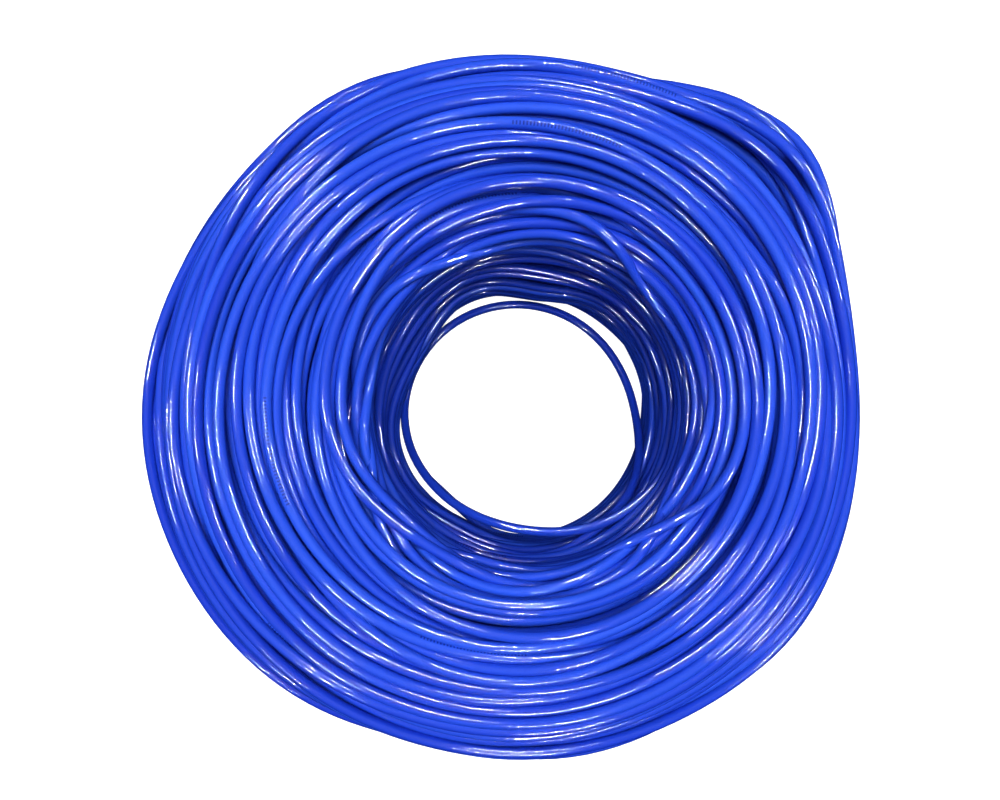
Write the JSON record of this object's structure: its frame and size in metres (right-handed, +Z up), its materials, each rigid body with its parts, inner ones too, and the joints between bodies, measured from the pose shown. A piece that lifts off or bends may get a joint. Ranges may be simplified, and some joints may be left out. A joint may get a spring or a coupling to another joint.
{
  "type": "network cable coil",
  "caption": "Bulk coil of round four-pair network cable, wound in layers round an open eye, with a slack inner turn and two cut ends.",
  "frame": {"origin": "on the floor, under the middle of the coil's outline box", "axes": "+Z up, along the eye and the coil's shortest side; +X towards the side where the winding is thinnest; the outline's largest swell lies between +X and +Y"},
  "size_m": [0.3655, 0.3601, 0.152],
  "materials": {
    "jacket": "smooth glossy PVC, slightly wavy over the twisted pairs",
    "insulation_blue": "smooth polyethylene",
    "insulation_orange": "smooth polyethylene",
    "insulation_green": "smooth polyethylene",
    "insulation_brown": "smooth polyethylene",
    "insulation_white": "smooth polyethylene with a stripe in the colour of its pair",
    "copper": "bright bare copper, cut",
    "ripcord": "nylon thread"
  },
  "bodies": {
    "root": {"winding_1": "jacket", "winding_2": "jacket", "winding_3": "jacket", "winding_4": "jacket", "winding_5": "jacket", "winding_6": "jacket", "loose_inner_turn": "jacket", "inner_end_jacket": "jacket", "outer_end_jacket": "jacket", "ripcord": "ripcord", "blue_insulation": "insulation_blue", "white_blue_insulation": "insulation_white", "blue_copper": "copper", "white_blue_copper": "copper", "orange_insulation": "insulation_orange", "white_orange_insulation": "insulation_white", "orange_copper": "copper", "white_orange_copper": "copper", "green_insulation": "insulation_green", "white_green_insulation": "insulation_white", "green_copper": "copper", "white_green_copper": "copper", "brown_insulation": "insulation_brown", "white_brown_insulation": "insulation_white", "brown_copper": "copper", "white_brown_copper": "copper"}
  },
  "joints": []
}
